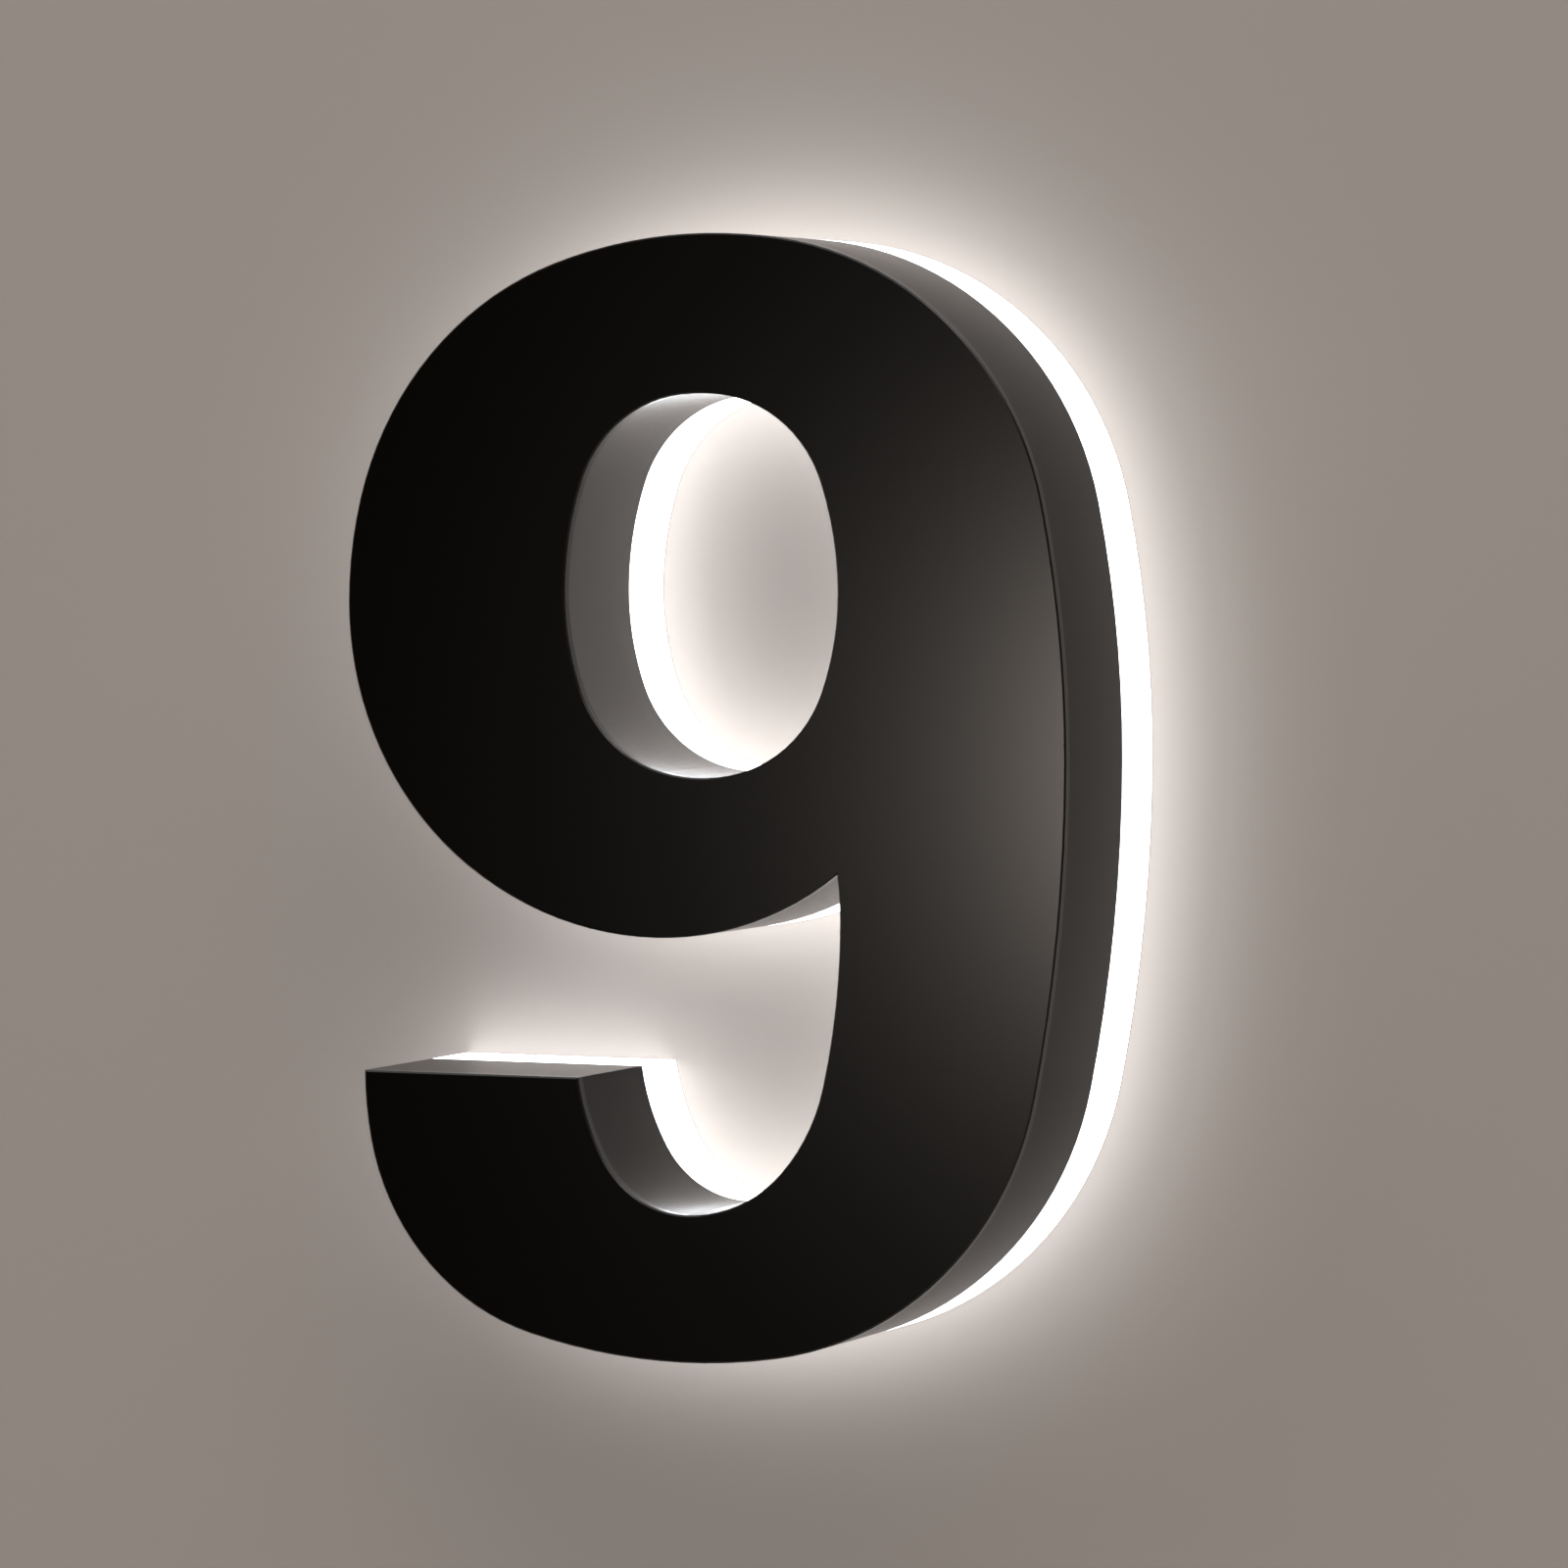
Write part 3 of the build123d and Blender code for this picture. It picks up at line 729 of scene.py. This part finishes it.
# %% Slotted screws
HALF_SLOT, HALF_SLOT_WIDTH = 1.15, 0.2
slot_corners = np.arctan2(HALF_SLOT_WIDTH, HALF_SLOT) * np.array([1, -1])
slot_angles = np.concatenate([ROUND, slot_corners, pi + slot_corners]) % (2 * pi)
slot_angles = np.unique(np.round(slot_angles, 6))
slotted = [(0, 0.7, 0), (HALF_SLOT_WIDTH, 0.7, 1), (HALF_SLOT_WIDTH, 1.14, 1), (1.22, 1.18, 0)]
slotted += [(1.36, 1.05, 0), (1.36, 0.05, 0), (0, 0.02, 0)]
slot_outline = long_slot(HALF_SLOT, HALF_SLOT_WIDTH)
slot_seats = np.array([middle(p) for p in separate_pieces("terminal_screws", reach_mm=3.2)])
slot_seats[:, 1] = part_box("terminal_screws")[1].y
terminal_heads = surface_piece(
    "slotted_screws",
    set_in_place(turned(slotted, slot_angles, slot_outline), slot_seats, block_way, TO_READER),
    "light_unit",
    [stainless],
)
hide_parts("terminal_screws")

# %% [markdown]
# ## Wall, floor and light
# The sign needs a wall to show its halo, so a plain pale wall stands a tenth of a millimetre
# behind it, with an opening behind the sign's own back plate. Seen from behind, wall and floor
# are clear, so that the back of the sign can be looked at too.

# %% Stage
def plain_stage(name, colour, roughness):
    """A pale matt surface that shows from its front only: its back lets the light through."""
    made, tree, surface = finish_named(name, colour, roughness)
    behind = put(tree, "ShaderNodeNewGeometry").outputs["Backfacing"]
    clear = put(tree, "ShaderNodeBsdfTransparent").outputs["BSDF"]
    choice = {0: behind, 1: surface.outputs["BSDF"], 2: clear}
    mix = put(tree, "ShaderNodeMixShader", links=choice)
    tree.links.new(mix.outputs["Shader"], tree.nodes["Material Output"].inputs["Surface"])
    return made


wall_paint = plain_stage("pale_wall_paint", "#aba39d", 0.85)
floor_paint = plain_stage("pale_floor_paint", "#c9c6c2", 0.8)


# %% Flat sheets
def stage_sheet(name, corners, hole_loops, material):
    """A flat sheet between corners, with the given loops cut out, filled with triangles."""
    work = bmesh.new()
    edges = []
    for loop in [corners, *hole_loops]:
        rim = [work.verts.new(p) for p in loop]
        edges += [work.edges.new(pair) for pair in zip(rim, rim[1:] + rim[:1])]
    bmesh.ops.triangle_fill(work, use_beauty=True, edges=edges)
    mesh = bpy.data.meshes.new(name)
    work.to_mesh(mesh)
    work.free()
    mesh.materials.append(material)
    made = bpy.data.objects.new(name, mesh)
    bpy.context.scene.collection.objects.link(made)
    made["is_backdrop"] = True
    return made


# %% Outline of the back
def rear_outlines(name, least_mm):
    """The boundary loops of a node's rear face that span least_mm or more, as lists of points."""
    work = bmesh.new()
    work.from_mesh(nodes[name].data)
    touch = 0.001 * MM
    bmesh.ops.remove_doubles(work, verts=work.verts, dist=touch)
    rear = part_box(name)[1].y
    others = [face for face in work.faces if abs(at(face).y - rear) > touch]
    bmesh.ops.delete(work, geom=others, context="FACES")
    rims = {edge for edge in work.edges if edge.is_boundary}
    loops = []
    while rims:
        first, corner = rims.pop().verts
        loop = [corner.co.copy()]
        while corner is not first:
            edge = next(e for e in corner.link_edges if e in rims)
            rims.discard(edge)
            corner = edge.other_vert(corner)
            loop.append(corner.co.copy())
        if np.ptp(np.array(loop), axis=0).max() > least_mm * MM:
            loops.append(loop)
    work.free()
    return loops


back_loops = rear_outlines("back_plate", least_mm=30.0)
print("loops of the back plate:", [len(loop) for loop in back_loops])


# %% Wall and floor
WALL_Y = 0.1 * MM
WALL_HALF, WALL_TOP, FLOOR_Z, FLOOR_HALF = 1.6, 2.0, -0.55, 12.0
SQUARE = ((-1, -1), (1, -1), (1, 1), (-1, 1))

holes = [[Vector((p.x, WALL_Y, p.z)) for p in loop] for loop in back_loops]
wall_corners = [
    Vector((x * WALL_HALF, WALL_Y, z))
    for x, z in ((-1, FLOOR_Z), (1, FLOOR_Z), (1, WALL_TOP), (-1, WALL_TOP))
]
wall = stage_sheet("wall", wall_corners, holes, wall_paint)
floor_corners = [Vector((x * FLOOR_HALF, y * FLOOR_HALF, FLOOR_Z)) for x, y in SQUARE]
floor = stage_sheet("floor", floor_corners, [], floor_paint)


def face_towards(made, direction):
    """Turns a flat sheet's faces so that they look along the direction."""
    if made.data.polygons[0].normal.dot(Vector(direction)) < 0:
        made.data.flip_normals()
    made.data.update()


face_towards(wall, (0, -1, 0))
face_towards(floor, (0, 0, 1))
print("wall faces:", len(wall.data.polygons))

# %% [markdown]
# ## Lamps
# Two large soft lamps from the reader's right and left and a wide one overhead light the wall
# evenly. A small upright lamp stands where the face mirrors it towards the camera: the coat
# blurs it to the soft grey-brown glow on the right half of the face. A lamp behind lights the
# back plate for the views from there. No lamp is seen by the camera itself.


# %% Lamps
def soft_lamp(name, place, aim, width, height, watts, colour):
    """A rectangular lamp at place that points at aim."""
    data = bpy.data.lights.new(name, "AREA")
    data.shape = "RECTANGLE"
    data.size = width
    data.size_y = height
    data.energy = watts
    data.color = linear(colour)[:3]
    lamp = bpy.data.objects.new(name, data)
    bpy.context.scene.collection.objects.link(lamp)
    lamp.location = place
    lamp.rotation_euler = (Vector(aim) - Vector(place)).to_track_quat("-Z", "Y").to_euler()
    lamp.visible_camera = False
    print(name, watts, "W")


SIGN = (0, 0, 0)
MIRRORED_SPOT = (0.103, -0.043, 0.011)
soft_lamp("key_lamp", (0.8, -1.3, 1.5), SIGN, 2.0, 2.0, 17.0, "#fffaf4")
soft_lamp("fill_lamp", (-1.6, -0.9, 1.2), SIGN, 1.4, 1.4, 8.0, "#f6f8ff")
soft_lamp("sky_lamp", (0.0, -0.3, 3.2), (0, -0.3, 0), 4.0, 4.0, 60.0, "#ffffff")
soft_lamp(
    "face_glow_lamp", (-0.391, -1.458, -0.050), MIRRORED_SPOT, 0.05, 0.12, 1.04, "#fff2e8"
)
soft_lamp("rear_lamp", (0.7, 1.4, 0.9), SIGN, 1.0, 1.0, 16.0, "#ffffff")

# %% [markdown]
# ## Black flag
# A smooth black coat is as dark as what it mirrors. In the photograph the left of the face is
# almost black, so a black card stands where the face mirrors it towards the camera, just as a
# photographer puts a flag there. Only mirrored light sees it: it is hidden from the camera,
# throws no shadow and takes no light from the floor.

# %% Black flag
FLAG_WAY = Vector((-0.405, -0.913, -0.03)).normalized()
FLAG_DISTANCE, FLAG_HALF = 1.9, 0.9
flag_cloth, _, _ = finish_named("black_flag_cloth", "#020202", 1.0, IOR=1.0)
flag_middle = Vector((0.0, -0.043, 0.0)) + FLAG_WAY * FLAG_DISTANCE
flag_across = FLAG_WAY.cross(Vector((0, 0, 1))).normalized()
flag_up = flag_across.cross(FLAG_WAY)
flag_corners = [flag_middle + (flag_across * a + flag_up * b) * FLAG_HALF for a, b in SQUARE]
flag = stage_sheet("black_flag", flag_corners, [], flag_cloth)
flag.visible_camera = False
flag.visible_diffuse = False
flag.visible_shadow = False
print("black flag at", [round(v, 2) for v in flag_middle])

# %% [markdown]
# ## World
# A pale grey studio surrounds the set at a third of its strength, so that shadows keep their
# detail. The picture is written with the plain sRGB transform.

# %% World
world = bpy.data.worlds.new("studio")
world.use_nodes = True
background = world.node_tree.nodes["Background"]
background.inputs["Color"].default_value = linear("#d8d6d4")
background.inputs["Strength"].default_value = 0.35
bpy.context.scene.world = world
bpy.context.scene.view_settings.view_transform = "Standard"

# %% [markdown]
# ## Size of the dressed model
# The box round the dressed model is written down, in millimetres.

# %% Write the size
low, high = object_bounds()
print("visual box in mm:", [round(v / MM, 1) for v in (*low, *high)])
